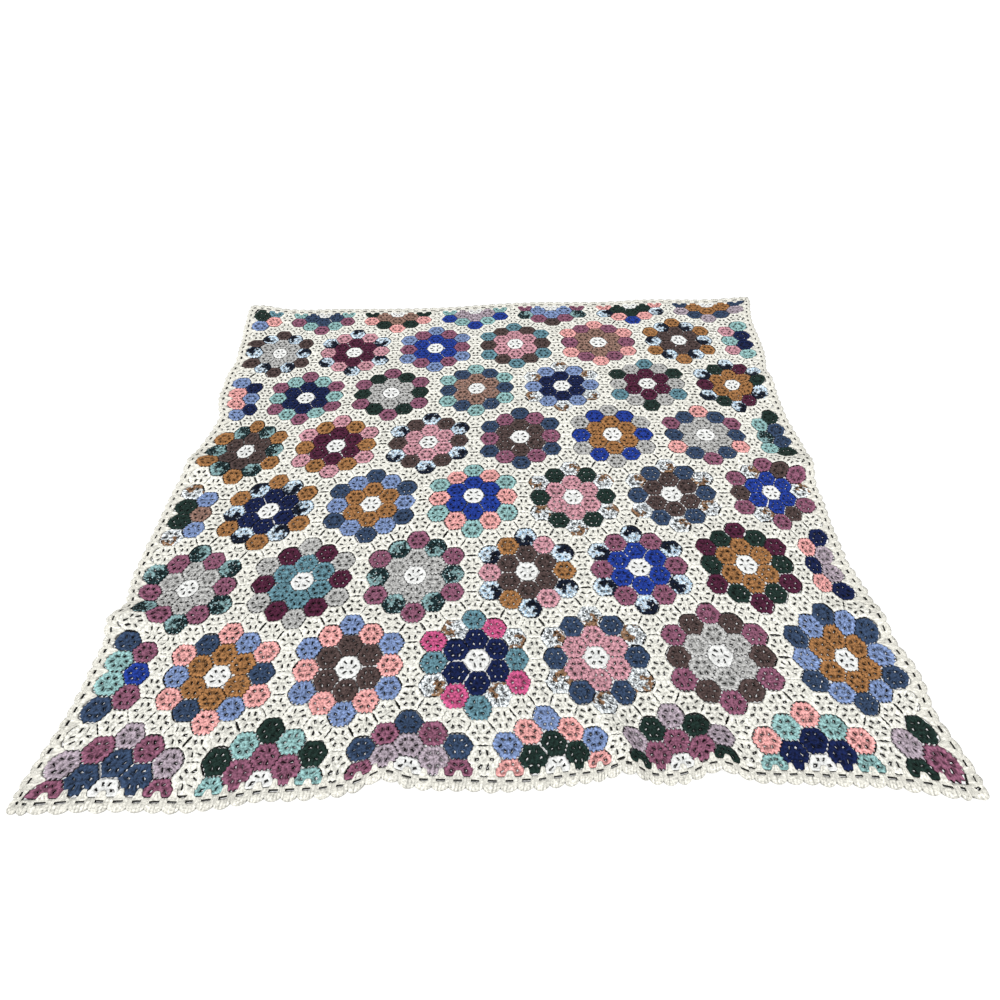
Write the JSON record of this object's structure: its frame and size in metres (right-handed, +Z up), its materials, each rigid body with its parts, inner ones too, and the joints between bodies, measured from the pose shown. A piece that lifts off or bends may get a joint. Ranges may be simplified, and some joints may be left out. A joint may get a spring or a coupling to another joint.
{
  "type": "crocheted hexagon motif blanket",
  "caption": "Flat crocheted throw of small joined hexagon motifs in many yarn colours, with a scalloped cream shell border, lying in low ripples.",
  "frame": {"origin": "on the floor, at the middle of the blanket's box", "axes": "+Z up, the shortest extent; +X to the right and +Y away from the near edge"},
  "size_m": [2.0209, 1.924, 0.0322],
  "materials": {
    "field_yarn": "matt worsted yarn in double crochet, cream ground with coloured flowers",
    "border_yarn": "matt cream worsted yarn in shells"
  },
  "bodies": {
    "root": {"field": "field_yarn", "shell_border": "border_yarn"}
  },
  "joints": []
}
